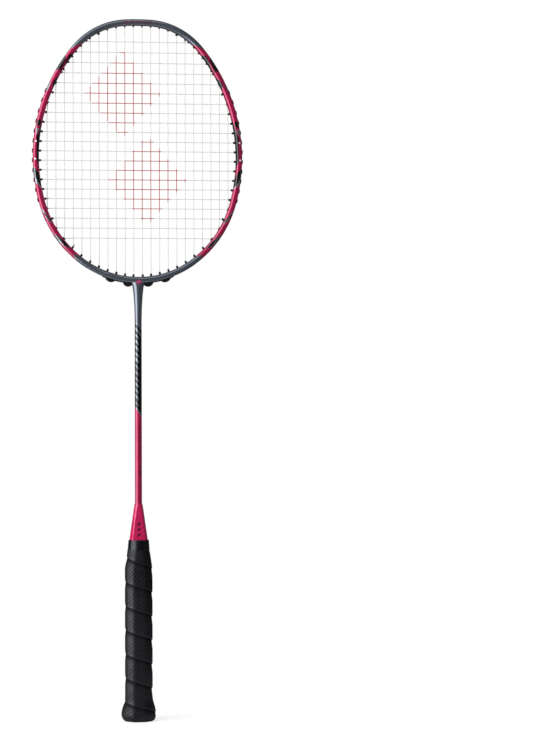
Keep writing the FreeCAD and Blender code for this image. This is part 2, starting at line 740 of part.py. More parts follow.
def build_head():
    hoop_block = fused(round_hoop([hoop_section()]))
    hoop = fused(round_hoop([hoop_section(), cavity_section()]))
    drills = [hole.drill() for hole in DISTINCT]
    stem_hole = rod(Vector(0, 0, THROAT_Z - 8), Vector(0, 0, THROAT_Z), SHAFT_BORE)
    export(hoop.cut(Part.makeCompound(drills + [stem_hole])), "head_hoop")
    strip, room = right_throat_strip(hoop_block)
    left_strip, left_room = [shape.mirror(Vector(0, 0, 0), Vector(1, 0, 0)) for shape in (strip, room)]
    export(left_strip, "throat_strip_left")
    export(strip, "throat_strip_right")
    export(throat_neck(hoop_block, [left_room, room]), "throat_neck")
    export(t_joint(), "t_joint_core")
    for node, holes in sorted(grommet_groups().items()):
        export([grommet(hole) for hole in holes], node)


def build_strings():
    mains, crosses = main_string(), cross_string()
    strings = []
    layers = ((mains, STRING_PLANE, "string_mains"), (crosses, -STRING_PLANE, "string_crosses"))
    for route, y, node in layers:
        solid, length = build_string(route, y)
        filled = solid.Volume / (math.pi * STRING_RADIUS**2 * length)
        print(f"{node}: {length / 1000:.3f} m, {filled:.4f} of the volume that its length gives")
        strings.append(export(solid, node)[0])
    knots = []
    for (corners, _), y in ((mains, STRING_PLANE), (crosses, -STRING_PLANE)):
        for end, before in ((corners[0], corners[1]), (corners[-1], corners[-2])):
            way = (before - end).normalize()
            middle = end + way * (TAIL - KNOT_MIDDLE) + THROUGH * y
            knots.append(knot(middle, strings))
    export(knots, "string_knots")


def build_handle():
    export(shaft_tube(), "shaft_tube")
    cone, core = cone_cap(), handle_core()
    cap = butt_cap()
    export(cone, "cone_cap")
    export(core, "handle_core")
    export(cap, "butt_cap")
    export(end_plate(), "end_plate")
    export(grip_tape([cone, core, cap]), "grip_tape")
    export(finishing_tape(), "finishing_tape")


os.makedirs(PARTS, exist_ok=True)
build_handle()
build_head()
build_strings()
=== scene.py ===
import math
import random

import bmesh
import bpy
import numpy as np
from mathutils import Matrix, Vector


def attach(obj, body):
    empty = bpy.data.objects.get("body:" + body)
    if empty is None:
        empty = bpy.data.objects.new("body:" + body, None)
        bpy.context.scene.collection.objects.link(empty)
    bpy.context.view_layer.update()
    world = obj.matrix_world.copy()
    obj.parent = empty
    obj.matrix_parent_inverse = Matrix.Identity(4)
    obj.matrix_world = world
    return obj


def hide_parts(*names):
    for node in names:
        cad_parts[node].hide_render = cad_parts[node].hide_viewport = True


# A badminton racket standing on its butt: +Z up the shaft, X across the face, the front towards -Y.
# Lengths are millimetres up to where a mesh is made; the floor, the lights and the camera are in metres.
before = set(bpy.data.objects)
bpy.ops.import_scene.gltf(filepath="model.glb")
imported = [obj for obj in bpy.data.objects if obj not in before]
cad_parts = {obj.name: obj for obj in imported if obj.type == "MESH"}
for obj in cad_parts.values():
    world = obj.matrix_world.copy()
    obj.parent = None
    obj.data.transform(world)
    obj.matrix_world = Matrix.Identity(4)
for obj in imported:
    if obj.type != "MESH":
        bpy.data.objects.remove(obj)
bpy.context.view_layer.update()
scene = bpy.context.scene
MM = 0.001

# --- the racket's dimensions, as in the CAD ---
HEIGHT = 675.0
HOOP_ARCS = [(223.6, 2.9), (67.9, 47.6), (165.1, 55.5), (103.4, 38.3)]   # (radius, degrees) from the top down
HALF_WIDTH = 2.95         # of the hoop's section, across the face
GROOVE_FLOOR = 1.65       # offset out from the hoop's centreline
MAIN_COUNT, MAIN_PITCH = 22, 8.3
CROSS_COUNT = 21
CROSS_PITCH, CROSS_SPREAD = 9.12, 0.0029   # at the closest point, and how fast the crosses spread from there
CROSS_CLOSEST = 12        # the index of the cross at the closest point, counted from the top
CROSS_CLOSEST_Z = 538.7
STRING_RADIUS = 0.34
STRING_BEND = 1.1         # where the string turns from a hole into the groove
STRING_EASE = 2.0         # where it leaves a grommet's mouth
SHARED_EASE = 0.8         # where it leaves a shared one
SHARED_APART = 0.36       # how far the two strings in a shared hole each lie from the middle plane
SHARED_SHIFT = 0.3        # and from the hole's middle, towards their own lines
TAIL = 1.2                # a tied end, out of the grommet's mouth

# How far each kind of grommet reaches in from the hoop's inner edge.
REACH = {"red": 1.4, "short": 1.15, "thick": 1.8, "saddle": 2.1, "long": 2.2, "strip": 2.3, "shared": 0.7}
# Holes that a main and a cross share: {place of the main from the edge: place of the cross from the top}.
SHARED_TOP = {0: 6, 1: 4}
SHARED_BOTTOM = {0: 17, 1: 19, 2: 20}
SLIM_MAINS = range(7, 15)   # in slim grommets at the top, and in the throat strips at the bottom
THICK_TOP_MAIN = 6        # from either edge
SHOULDER_CROSSES = 4      # the top crosses, whose grommets are short
SADDLE_CROSSES = range(5, 18)
SIDE_TIE = 16             # the cross whose grommets the ends of the mains are tied at
TOP_TIE = 16              # the main whose top grommet the crosses start at
LOW_TIE = 3               # and the one whose bottom grommet they end at

NORMAL_SHARE = 0.68       # how much a hole follows the hoop's normal rather than its string
THROAT_LEAN = 13.0        # degrees that the two middle holes at the throat lean away from the neck
FLANGE_THICKNESS = 0.3
LOOP_CLEARANCE = 0.42     # under a loop, for the hoop to curve in below it
TURN_OUT = GROOVE_FLOOR + FLANGE_THICKNESS + STRING_RADIUS + LOOP_CLEARANCE   # where a string leaves its hole
NEARLY = 1e-9             # room for rounding where two arcs of the hoop meet


# --- the hoop's curve ---
def hoop_arcs():
    """[(centre x, centre z, radius, first heading, last heading, length before)] of the right half."""
    turned, x = 0.0, 0.0
    for radius, turn in HOOP_ARCS:
        end = turned + math.radians(turn)
        x += radius * (math.sin(end) - math.sin(turned))
        turned = end
    closing = [(x / math.sin(turned), 180.0 - math.degrees(turned))]   # the arc that ends level at the bottom
    arcs, heading, along = [], 0.0, 0.0
    at_x, at_z = 0.0, HEIGHT - HALF_WIDTH
    for radius, turn in HOOP_ARCS + closing:
        centre_x = at_x - radius * math.sin(heading)
        centre_z = at_z - radius * math.cos(heading)
        end = heading + math.radians(turn)
        arcs.append((centre_x, centre_z, radius, heading, end, along))
        along += radius * (end - heading)
        at_x = centre_x + radius * math.sin(end)
        at_z = centre_z + radius * math.cos(end)
        heading = end
    return arcs


ARCS = hoop_arcs()


def hoop_point(heading, offset, side):
    """The point at an offset out from the centreline; the heading is 0 at the top and grows down the side."""
    for centre_x, centre_z, radius, _, last, _ in ARCS:
        if heading <= last + NEARLY:
            break
    out = radius + offset
    return Vector((side * (centre_x + out * math.sin(heading)), 0, centre_z + out * math.cos(heading)))


def place_on_hoop(point):
    """(heading, offset, side) of a point."""
    side = -1 if point.x < 0 else 1
    for centre_x, centre_z, radius, _, last, _ in ARCS:
        dx, dz = abs(point.x) - centre_x, point.z - centre_z
        heading = math.atan2(dx, dz) % (2 * math.pi)
        if heading <= last + NEARLY:
            break
    return heading, math.hypot(dx, dz) - radius, side


def heading_where(value, offset, axis, top=True):
    """Where the offset curve reaches x = value (axis 0, above or below its widest point) or z = value."""
    slack = 1e-6
    for centre_x, centre_z, radius, first, last, _ in ARCS:
        ratio = (value - (centre_x, centre_z)[axis]) / (radius + offset)
        if abs(ratio) > 1:
            continue
        heading = math.acos(ratio) if axis else math.asin(ratio) if top else math.pi - math.asin(ratio)
        if first - slack <= heading <= last + slack:
            return heading
    raise ValueError(f"the hoop doesn't reach {value}")


def main_x(index):
    return (index - (MAIN_COUNT - 1) / 2) * MAIN_PITCH


def cross_z(index):
    steps = CROSS_CLOSEST - index
    return CROSS_CLOSEST_Z + CROSS_PITCH * steps + CROSS_SPREAD * steps**3


# --- shader graphs ---
def linear(red, green, blue):
    """A colour given as screen values (sRGB) from 0 to 255, for a shader."""
    channels = [c / 255 for c in (red, green, blue)]
    return tuple(c / 12.92 if c <= 0.04045 else ((c + 0.055) / 1.055) ** 2.4 for c in channels) + (1.0,)


class Graph:
    """A node material under construction."""

    def __init__(self, name):
        self.material = bpy.data.materials.new(name)
        self.material.use_nodes = True
        self.nodes = self.material.node_tree.nodes
        self.links = self.material.node_tree.links
        self.shader = self.nodes["Principled BSDF"]

    def put(self, socket, value):
        if isinstance(value, bpy.types.NodeSocket):
            self.links.new(value, socket)
        else:
            socket.default_value = value

    def add(self, kind, inputs=None, **settings):
        node = self.nodes.new(kind)
        for key, value in settings.items():
            setattr(node, key, value)
        for key, value in (inputs or {}).items():
            self.put(node.inputs[key], value)
        return node

    def math(self, operation, *values):
        return self.add("ShaderNodeMath", dict(enumerate(values)), operation=operation).outputs[0]

    def plus(self, a, b):
        return self.math("ADD", a, b)

    def minus(self, a, b):
        return self.math("SUBTRACT", a, b)

    def times(self, a, b):
        return self.math("MULTIPLY", a, b)

    def over(self, a, b):
        return self.math("GREATER_THAN", a, b)

    def under(self, a, b):
        return self.math("LESS_THAN", a, b)

    def between(self, value, low, high):
        return self.times(self.over(value, low), self.under(value, high))

    def ramp(self, value, low, high, to_low=0.0, to_high=1.0):
        """Eases from to_low to to_high as the value goes from low to high."""
        inputs = {0: value, 1: low, 2: high, 3: to_low, 4: to_high}
        return self.add("ShaderNodeMapRange", inputs, interpolation_type="SMOOTHSTEP").outputs[0]

    def mix(self, amount, a, b, mode="MIX"):
        node = self.add("ShaderNodeMix", data_type="RGBA", blend_type=mode)
        for index, value in ((0, amount), (6, a), (7, b)):   # the sockets for colours
            self.put(node.inputs[index], value)
        return node.outputs[2]

    def place(self):
        """The shaded point as (vector, x, y, z) in millimetres."""
        coordinates = self.add("ShaderNodeTexCoord").outputs["Object"]
        inputs = {0: coordinates, "Scale": 1 / MM}
        scaled = self.add("ShaderNodeVectorMath", inputs, operation="SCALE").outputs[0]
        split = self.add("ShaderNodeSeparateXYZ", {0: scaled}).outputs
        return scaled, split[0], split[1], split[2]

    def noise(self, vector, scale, detail=2.0, roughness=0.5):
        inputs = {"Vector": vector, "Scale": scale, "Detail": detail, "Roughness": roughness}
        return self.add("ShaderNodeTexNoise", inputs).outputs[0]

    def bump(self, height, distance, strength=1.0):
        """The normal over a relief whose height is in distances of so many metres."""
        inputs = {"Height": height, "Distance": distance, "Strength": strength}
        return self.add("ShaderNodeBump", inputs).outputs[0]

    def set(self, **values):
        """Sets the shader's inputs; an underscore stands for a space."""
        for key, value in values.items():
            self.put(self.shader.inputs[key.replace("_", " ")], value)
        return self.material


def on_hoop(graph, x, z):
    """(distance along the hoop from the middle of the top, offset out from its centreline)."""
    across = graph.math("ABSOLUTE", x)
    along = out = None
    for centre_x, centre_z, radius, first, last, before in reversed(ARCS):
        dx, dz = graph.minus(across, centre_x), graph.minus(z, centre_z)
        heading = graph.math("ARCTAN2", dx, dz)
        heading = graph.math("MULTIPLY_ADD", graph.under(heading, 0.0), 2 * math.pi, heading)
        here = graph.math("MULTIPLY_ADD", graph.minus(heading, first), radius, before)
        square = graph.math("MULTIPLY_ADD", dx, dx, graph.times(dz, dz))
        beyond = graph.minus(graph.math("SQRT", square), radius)
        if along is None:
            along, out = here, beyond
            continue
        chosen = graph.under(heading, last)
        along = graph.math("MULTIPLY_ADD", chosen, graph.minus(here, along), along)
        out = graph.math("MULTIPLY_ADD", chosen, graph.minus(beyond, out), out)
    return along, out


# --- paint ---
SLATE = linear(119, 128, 143)
MAGENTA = linear(182, 22, 84)
BRIGHT_MAGENTA = linear(206, 26, 92)
PALE_MAGENTA = linear(206, 52, 120)
DEEP_MAGENTA = linear(92, 12, 44)
BLACK = linear(17, 17, 19)
GREY = linear(120, 126, 133)
SILVER = linear(150, 160, 170)
WHITE = linear(250, 250, 250)
INK = linear(184, 14, 6)
SLATE_METAL, MAGENTA_METAL, CONE_METAL = 0.75, 0.35, 0.2

IN, OUT = -4.0, 4.0       # offsets past the hoop's inner and outer edges
SLATE_TOP = 66.4          # the hoop is slate from the middle of the top to here along its centreline
SLATE_SLANT = 2.4         # and this much further for each millimetre outwards
SLATE_BOTTOM = 293.4      # it is slate again from here to the middle of the bottom

# Shards of paint on the hoop: the paint, and the outline as (millimetres along the hoop from the middle of
# the top, offset of the inner edge, offset of the outer edge) at each of its corners.
SHARDS = [
    # A darker magenta across the hoop between the black shards, from 82 to 95 mm along.
    (DEEP_MAGENTA, (82.0, -0.4, 0.8), (95.0, -2.6, 1.2)),
    (BLACK, (73.5, IN, -2.6), (77.5, IN, 0.1), (93.0, IN, -3.3)),
    (BLACK, (79.5, 2.8, OUT), (82.0, 0.6, OUT), (92.5, -0.5, OUT), (98.0, 3.6, OUT)),
    (BLACK, (99.0, IN, -3.2), (106.0, IN, -0.4), (110.0, IN, -0.5), (112.5, IN, -3.4)),
    (GREY, (108.5, 3.2, OUT), (110.5, 1.2, OUT), (117.5, 1.4, OUT), (119.5, 3.4, OUT)),
    (BLACK, (141.0, IN, -3.4), (153.0, IN, -1.6), (158.0, IN, -1.2),
     (163.0, IN, 0.9), (167.0, IN, -0.3), (184.0, IN, -0.5)),
    (BLACK, (184.0, IN, -0.4), (194.5, IN, -3.8)),
    (BLACK, (145.5, -0.1, 0.0), (147.5, -1.6, 2.1), (150.5, -1.6, 2.1), (153.0, 0.8, 1.4)),
    (SILVER, (154.8, -1.7, 1.9), (161.2, 1.2, 1.3)),
    (BLACK, (192.5, 1.2, 1.5), (197.5, -1.9, 1.5), (203.0, -3.6, 1.5)),
    (BLACK, (203.0, IN, 1.2), (209.5, IN, -1.6), (212.5, IN, -3.6)),
    (GREY, (192.0, 1.5, OUT), (203.0, 1.5, OUT)),
    (SILVER, (202.0, 1.6, 2.6), (206.5, -0.2, 2.4), (212.5, -2.9, -2.3)),
    (SILVER, (230.5, 2.8, 3.4), (234.0, 1.3, 2.6), (240.5, -0.8, -0.1)),
    (BLACK, (235.5, 2.3, 2.9), (240.0, 0.1, 1.2), (246.0, -3.2, -1.4)),
    (SILVER, (239.5, 1.5, 1.8), (243.0, -0.7, 1.3), (249.0, -1.3, -1.1)),
    (BLACK, (244.0, IN, -2.3), (253.0, IN, -2.9)),
    (GREY, (258.0, 1.2, 1.4), (263.0, -0.2, 2.3), (268.5, -1.6, 2.4)),
    (BLACK, (258.0, 2.3, OUT), (268.0, 2.3, OUT)),
    (BLACK, (266.0, -1.3, -0.4), (272.0, -2.0, 1.0), (278.5, -1.5, -1.3)),
    (SILVER, (265.5, 1.2, 2.1), (271.0, 0.9, 1.9), (278.0, -1.0, -0.6)),
    (SLATE, (284.0, 0.4, 0.5), (293.6, -3.8, 3.9)),
]
DOTS = [167.1, 184.0]     # white paint dots on the front, along the hoop
DOT_OUT = 0.75
DOT_RADIUS = 0.85
DASH_SPAN = 14.5          # magenta dashes at the top of the hoop, this far to each side
DASHES_PER_MM = 0.34
ABOVE_MIDDLE = 600.0      # only the top of the hoop is above this height
BADGE_X, BADGE_Z = 0.6, 422.2   # the middle of the rhombus on the throat
BADGE_HALF_WIDTH, BADGE_HALF_HEIGHT = 3.4, 2.2

# Heights on the shaft's middle line.  The bars and the magenta's edge climb to the left at these slopes.
BARS_TOP, BARS_BOTTOM = 378.4, 297.5
BAR_PITCH, BAR_SLOPE = 5.85, 1.25
DIM_BELOW = 344.0         # the bars are wider below here, and the ground between them darker
# Painted shade: black down the shaft's right side beside the bars, between these heights.
PAINTED_SHADE_TOP, PAINTED_SHADE_BOTTOM = 372.0, 300.0   # of the black down the right side of the bars
SHAFT_MAGENTA_TOP, SHAFT_MAGENTA_SLOPE = 296.4, 1.58
FINE_MARKS = [(252.0, 284.0), (236.0, 246.0)]   # two rows, each from its lower end to its upper one
FINE_MARKS_PER_MM = 0.37
CONE_BARS_BOTTOM, CONE_BARS_TOP, CONE_BAR_PITCH = 178.0, 193.0, 5.2

RHOMBI = [(-15.0, 603.0, 37.0, 43.0), (9.0, 520.0, 38.0, 44.0)]   # (middle x, z, half width, half height)
BRAID_STRANDS = 3.0
BRAID_LAY = 1.3           # the braid repeats in this length
FLAKES_PER_MM = 7.0


def lacquer(graph, colour, vector, metal):
    """Metallic paint under clear lacquer: flakes in the paint and a faint ripple in the lacquer."""
    flakes = graph.add("ShaderNodeTexVoronoi", {"Vector": vector, "Scale": FLAKES_PER_MM}).outputs["Color"]
    sparkle = graph.add("ShaderNodeSeparateXYZ", {0: flakes}).outputs[0]
    bright = graph.ramp(sparkle, 0.0, 1.0, 0.88, 1.15)
    cloud = graph.ramp(graph.noise(vector, scale=0.09), 0.3, 0.7, 0.94, 1.06)
    factor = graph.times(bright, cloud)
    tint = graph.add("ShaderNodeCombineXYZ", {0: factor, 1: factor, 2: factor}).outputs[0]
    colour = graph.mix(1.0, colour, tint, "MULTIPLY")
    ripple = graph.bump(graph.noise(vector, scale=0.45, detail=1.0), distance=0.00001)
    grain = graph.bump(sparkle, distance=0.00002, strength=0.25)
    coat = graph.math("MULTIPLY_ADD", metal, 0.8, 0.4)
    return graph.set(
        Base_Color=colour, Metallic=metal, Roughness=graph.ramp(sparkle, 0.0, 1.0, 0.24, 0.34), Normal=grain,
        Coat_Weight=coat, Coat_Roughness=0.1, Coat_IOR=1.66, Coat_Normal=ripple)


def diamond(graph, u, v, half_u, half_v):
    """1 inside a rhombus round (0, 0)."""
    sum_u = graph.math("DIVIDE", graph.math("ABSOLUTE", u), half_u)
    sum_v = graph.math("DIVIDE", graph.math("ABSOLUTE", v), half_v)
    return graph.under(graph.plus(sum_u, sum_v), 1.0)


def hoop_paint():
    """Slate at the top and the throat, magenta between, and shards, dots, dashes and a badge over them."""
    graph = Graph("hoop_lacquer")
    vector, x, y, z = graph.place()
    along, out = on_hoop(graph, x, z)
    start = graph.math("MULTIPLY_ADD", out, -SLATE_SLANT, along)
    slate = graph.math("MAXIMUM", graph.under(start, SLATE_TOP), graph.over(along, SLATE_BOTTOM))
    colour = graph.mix(slate, MAGENTA, SLATE)
    metal = graph.math("MULTIPLY_ADD", slate, SLATE_METAL - MAGENTA_METAL, MAGENTA_METAL)
    for paint, *corners in SHARDS:
        for (first, low_a, high_a), (last, low_b, high_b) in zip(corners, corners[1:]):
            t = graph.math("DIVIDE", graph.minus(along, first), last - first)
            low = graph.math("MULTIPLY_ADD", t, low_b - low_a, low_a)
            high = graph.math("MULTIPLY_ADD", t, high_b - high_a, high_a)
            inside = graph.times(graph.between(t, 0.0, 1.0), graph.between(out, low, high))
            colour = graph.mix(inside, colour, paint)
            if paint in (SLATE, GREY, SILVER):
                metal = graph.math("MAXIMUM", metal, graph.times(inside, SLATE_METAL))
    front = graph.under(y, 0.0)
    for dot in DOTS:
        u, v = graph.minus(along, dot), graph.minus(out, DOT_OUT)
        away = graph.math("MULTIPLY_ADD", u, u, graph.times(v, v))
        here = graph.times(graph.under(away, DOT_RADIUS**2), front)
        colour = graph.mix(here, colour, WHITE)
        metal = graph.times(metal, graph.minus(1.0, here))
    dash = graph.between(graph.math("FRACT", graph.times(x, DASHES_PER_MM)), 0.2, 0.75)
    spanned = graph.times(graph.between(x, -DASH_SPAN, DASH_SPAN), graph.between(out, -0.6, 0.9))
    dash = graph.times(graph.times(graph.times(dash, spanned), front), graph.over(z, ABOVE_MIDDLE))
    colour = graph.mix(dash, colour, MAGENTA)
    u, v = graph.minus(x, BADGE_X), graph.minus(z, BADGE_Z)
    badge = graph.times(diamond(graph, u, v, BADGE_HALF_WIDTH, BADGE_HALF_HEIGHT), front)
    colour = graph.mix(graph.times(badge, 0.8), colour, PALE_MAGENTA)
    metal = graph.math("MULTIPLY_ADD", badge, -0.5, metal)
    return lacquer(graph, colour, vector, metal)


def shaft_paint():
    """Slate above, then slanted black bars with painted shade in black down their right side, and magenta
    with rows of fine marks below a slanted edge.
    """
    graph = Graph("shaft_lacquer")
    vector, x, y, z = graph.place()
    slant = graph.math("MULTIPLY_ADD", x, BAR_SLOPE, z)
    step = graph.math("DIVIDE", graph.minus(BARS_TOP, slant), BAR_PITCH)
    uneven = graph.noise(graph.add("ShaderNodeCombineXYZ", {2: slant}).outputs[0], scale=0.06)
    dim = graph.under(slant, DIM_BELOW)
    width = graph.math("MULTIPLY_ADD", dim, 0.13, graph.ramp(uneven, 0.35, 0.65, 0.3, 0.72))
    bar = graph.under(graph.math("FRACT", step), width)
    marked = graph.between(slant, BARS_BOTTOM, BARS_TOP)
    ground = graph.mix(graph.times(marked, graph.math("MULTIPLY_ADD", dim, -0.6, 0.6)), SLATE, SILVER)
    colour = graph.mix(graph.times(bar, marked), ground, BLACK)
    # Painted shade: the right side of the bars is painted black, where the shaft turns away from the light.
    right = graph.over(graph.math("MULTIPLY_ADD", y, -0.25, x), 1.0)
    colour = graph.mix(graph.times(right, graph.between(slant, PAINTED_SHADE_BOTTOM, PAINTED_SHADE_TOP)), colour, BLACK)
    edge = graph.math("MULTIPLY_ADD", x, SHAFT_MAGENTA_SLOPE, z)
    lower = graph.under(edge, SHAFT_MAGENTA_TOP)
    colour = graph.mix(lower, colour, MAGENTA)
    metal = graph.math("MULTIPLY_ADD", lower, MAGENTA_METAL - SLATE_METAL, SLATE_METAL)
    fine = graph.times(graph.between(x, 0.3, 1.5), graph.under(y, 0.0))
    fine = graph.times(fine, graph.between(graph.math("FRACT", graph.times(z, FINE_MARKS_PER_MM)), 0.25, 0.8))
    fine = graph.times(fine, graph.plus(*(graph.between(z, low, high) for low, high in FINE_MARKS)))
    colour = graph.mix(graph.times(fine, 0.75), colour, BLACK)
    return lacquer(graph, colour, vector, metal)


def cone_paint():
    """Magenta, with three dark slanted bars down the front panel."""
    graph = Graph("cone_lacquer")
    vector, x, y, z = graph.place()
    slant = graph.math("MULTIPLY_ADD", x, -0.5, z)
    step = graph.math("DIVIDE", graph.minus(slant, CONE_BARS_BOTTOM), CONE_BAR_PITCH)
    bars = graph.under(graph.math("FRACT", step), 0.42)
    bars = graph.times(bars, graph.between(slant, CONE_BARS_BOTTOM, CONE_BARS_TOP))
    bars = graph.times(bars, graph.times(graph.between(x, -1.6, 1.6), graph.under(y, 0.0)))
    colour = graph.mix(graph.times(bars, 0.85), BRIGHT_MAGENTA, BLACK)
    return lacquer(graph, colour, vector, CONE_METAL)


def moulded(name, colour, roughness, scale=1.6, depth=0.00003):
    """Moulded plastic with a fine grain and slight changes of shade."""
    graph = Graph(name)
    vector = graph.place()[0]
    shade = graph.noise(vector, scale=0.25, detail=3.0)
    dark = tuple(c * 0.75 for c in colour[:3]) + (1.0,)
    light = tuple(min(c * 1.3, 1.0) for c in colour[:3]) + (1.0,)
    grain = graph.noise(vector, scale, detail=4.0, roughness=0.6)
    rough = graph.ramp(grain, 0.3, 0.7, roughness - 0.06, roughness + 0.08)
    return graph.set(
        Base_Color=graph.mix(shade, dark, light), Roughness=rough, Normal=graph.bump(grain, depth),
        Specular_IOR_Level=0.5)


def handle_wood():
    """Bare wood with its grain along the handle."""
    graph = Graph("handle_wood")
    vector = graph.place()[0]
    stretched = graph.add("ShaderNodeMapping", {"Vector": vector, "Scale": (0.5, 0.5, 0.03)}).outputs[0]
    rings = graph.noise(stretched, scale=1.2, detail=6.0, roughness=0.65)
    colour = graph.mix(graph.ramp(rings, 0.35, 0.65), linear(176, 134, 86), linear(214, 178, 128))
    return graph.set(Base_Color=colour, Roughness=0.65, Normal=graph.bump(rings, distance=0.00005))


def string_material():
    """White braided nylon, with two rhombi stencilled across the strings in red ink."""
    graph = Graph("braided_string")
    vector, x, _, z = graph.place()
    along = graph.add("ShaderNodeAttribute", attribute_name="along").outputs["Fac"]
    around = graph.add("ShaderNodeAttribute", attribute_name="around").outputs["Fac"]
    lay = graph.times(along, 2 * math.pi / BRAID_LAY)
    one = graph.math("SINE", graph.math("MULTIPLY_ADD", around, BRAID_STRANDS, lay))
    two = graph.math("SINE", graph.math("MULTIPLY_ADD", around, -BRAID_STRANDS, lay))
    braid = graph.math("MAXIMUM", one, two)
    marks = None
    for middle_x, middle_z, half_x, half_z in RHOMBI:
        here = diamond(graph, graph.minus(x, middle_x), graph.minus(z, middle_z), half_x, half_z)
        marks = here if marks is None else graph.math("MAXIMUM", marks, here)
    worn = graph.ramp(graph.noise(vector, scale=0.7, detail=3.0), 0.28, 0.42, 0.75, 1.0)
    inked = graph.times(marks, worn)
    colour = graph.mix(inked, linear(226, 226, 225), INK)
    return graph.set(
        Base_Color=colour, Roughness=0.38, Normal=graph.bump(braid, distance=0.00003, strength=0.8),
        Specular_IOR_Level=graph.math("MULTIPLY_ADD", inked, -0.3, 0.4))


def grip_material():
    """Tacky polyurethane: near black with a soft sheen, fine leather grain, and painted shade in its holes
    and seams.
    """
    graph = Graph("grip_polyurethane")
    vector = graph.place()[0]
    worn = graph.ramp(graph.noise(vector, scale=0.06, detail=4.0), 0.35, 0.65)
    grain = graph.noise(vector, scale=2.6, detail=5.0, roughness=0.65)
    deep = graph.add("ShaderNodeAttribute", attribute_name="deep").outputs["Fac"]
    colour = graph.mix(worn, linear(12, 12, 16), linear(22, 21, 28))
    # Painted shade: the colour darkens in the seams under each turn's edge and in the holes.
    colour = graph.mix(graph.times(deep, 0.85), colour, linear(3, 3, 4))
    rough = graph.plus(graph.ramp(grain, 0.3, 0.7, 0.34, 0.46), graph.times(deep, 0.3))
    return graph.set(
        Base_Color=colour, Roughness=rough, Normal=graph.bump(grain, distance=0.00008),
        Specular_IOR_Level=graph.math("MULTIPLY_ADD", deep, -0.6, 0.66), Specular_Tint=(0.92, 0.94, 1.0, 1.0))


def band_material():
    """Stretched vinyl tape: black, glossy, with fine stretch lines."""
    graph = Graph("vinyl_tape")
    vector = graph.place()[0]
    stretched = graph.add("ShaderNodeMapping", {"Vector": vector, "Scale": (0.12, 0.12, 1.5)}).outputs[0]
    lines = graph.noise(stretched, scale=1.4, detail=4.0, roughness=0.6)
    colour = graph.mix(graph.noise(vector, scale=0.3), linear(8, 9, 14), linear(16, 17, 24))
    rough = graph.ramp(lines, 0.3, 0.7, 0.24, 0.38)
    return graph.set(
        Base_Color=colour, Roughness=rough, Normal=graph.bump(lines, distance=0.00006),
        Specular_Tint=(0.84, 0.9, 1.0, 1.0), Coat_Weight=0.3, Coat_Roughness=0.2)


# --- meshes ---
def piece(name, points, faces, material, replaced, attributes=None):
    """A smooth mesh piece from points in millimetres that rides on the racket."""
    mesh = bpy.data.meshes.new(name)
    mesh.from_pydata((np.asarray(points, float) * MM).tolist(), [], faces)
    mesh.polygons.foreach_set("use_smooth", [True] * len(mesh.polygons))
    for key, values in (attributes or {}).items():
        layer = mesh.attributes.new(key, "FLOAT", "POINT")
        layer.data.foreach_set("value", np.asarray(values, np.float32))
    mesh.materials.append(material)
    made = bpy.data.objects.new(name, mesh)
    scene.collection.objects.link(made)
    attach(made, "root")
    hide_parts(replaced)
    return made


SIDES = 8                 # of every tube


def tube_faces(rings):
    """The faces between so many rings of points, and a cap at each end."""
    faces = []
    for i in range(rings - 1):
        for j in range(SIDES):
            k = (j + 1) % SIDES
            faces.append((i * SIDES + j, i * SIDES + k, (i + 1) * SIDES + k, (i + 1) * SIDES + j))
    return faces + [tuple(range(SIDES))[::-1], tuple(range((rings - 1) * SIDES, rings * SIDES))]


def tube(path, radius):
    """(points, faces, along, around) of a round tube along a path that is nowhere square to the face."""
    path = np.asarray(path, float)
    ahead = np.gradient(path, axis=0)
    ahead /= np.linalg.norm(ahead, axis=1)[:, None]
    across = np.cross(ahead, (0.0, 1.0, 0.0))
    across /= np.linalg.norm(across, axis=1)[:, None]
    through = np.cross(across, ahead)
    turns = np.arange(SIDES) * 2 * math.pi / SIDES
    rings = across[:, None] * np.cos(turns)[None, :, None] + through[:, None] * np.sin(turns)[None, :, None]
    points = (path[:, None] + rings * radius).reshape(-1, 3)
    steps = np.linalg.norm(np.diff(path, axis=0), axis=1)
    along = np.repeat(np.concatenate(([0.0], np.cumsum(steps))), SIDES)
    return points, tube_faces(len(path)), along, np.tile(turns, len(path))


def hitch_tube(path):
    """The same along a hitch's coil, with each ring carried on from the one before without twist."""
    points, along, around, run, out = [], [], [], 0.0, None
    for i, at in enumerate(path):
        ahead = (path[min(i + 1, len(path) - 1)] - path[max(i - 1, 0)]).normalized()
        out = ahead.orthogonal().normalized() if out is None else (out - ahead * out.dot(ahead)).normalized()
        across = ahead.cross(out)
        run += (at - path[i - 1]).length if i else 0.0
        for j in range(SIDES):
            turn = 2 * math.pi * j / SIDES
            spoke = out * math.cos(turn) + across * math.sin(turn)
            points.append(tuple(at + spoke * STRING_RADIUS * HITCH_THINNING))
            along.append(run)
            around.append(turn)
    return points, tube_faces(len(path)), along, around


# --- strings ---
class Hole:
    """A drilled hole as a string sees it: its inner mouth, its outward way and where the string turns."""

    def __init__(self, mouth, string_way, kind, lean=0.0):
        heading, _, side = place_on_hoop(mouth)
        normal = Vector((side * math.sin(heading), 0, math.cos(heading)))
        way = normal * NORMAL_SHARE + string_way * (1 - NORMAL_SHARE)
        way.rotate(Matrix.Rotation(math.radians(lean), 3, "Y"))
        self.mouth, self.way, self.kind = mouth, way.normalized(), kind
        self.turn = self.at_offset(TURN_OUT)

    def at_offset(self, offset):
        reach = 0.0
        for _ in range(6):
            reach += offset - place_on_hoop(self.mouth + self.way * reach)[1]
        return self.mouth + self.way * reach

    def rest(self, axis):
        """Where a string along axis bends at the mouth; the two strings of a shared hole lie apart."""
        if self.kind != "shared":
            return self.mouth
        aside = self.way - axis * self.way.dot(axis)
        return self.mouth + aside.normalized() * SHARED_SHIFT


def mouth_offset(kind):
    return -HALF_WIDTH - REACH[kind]


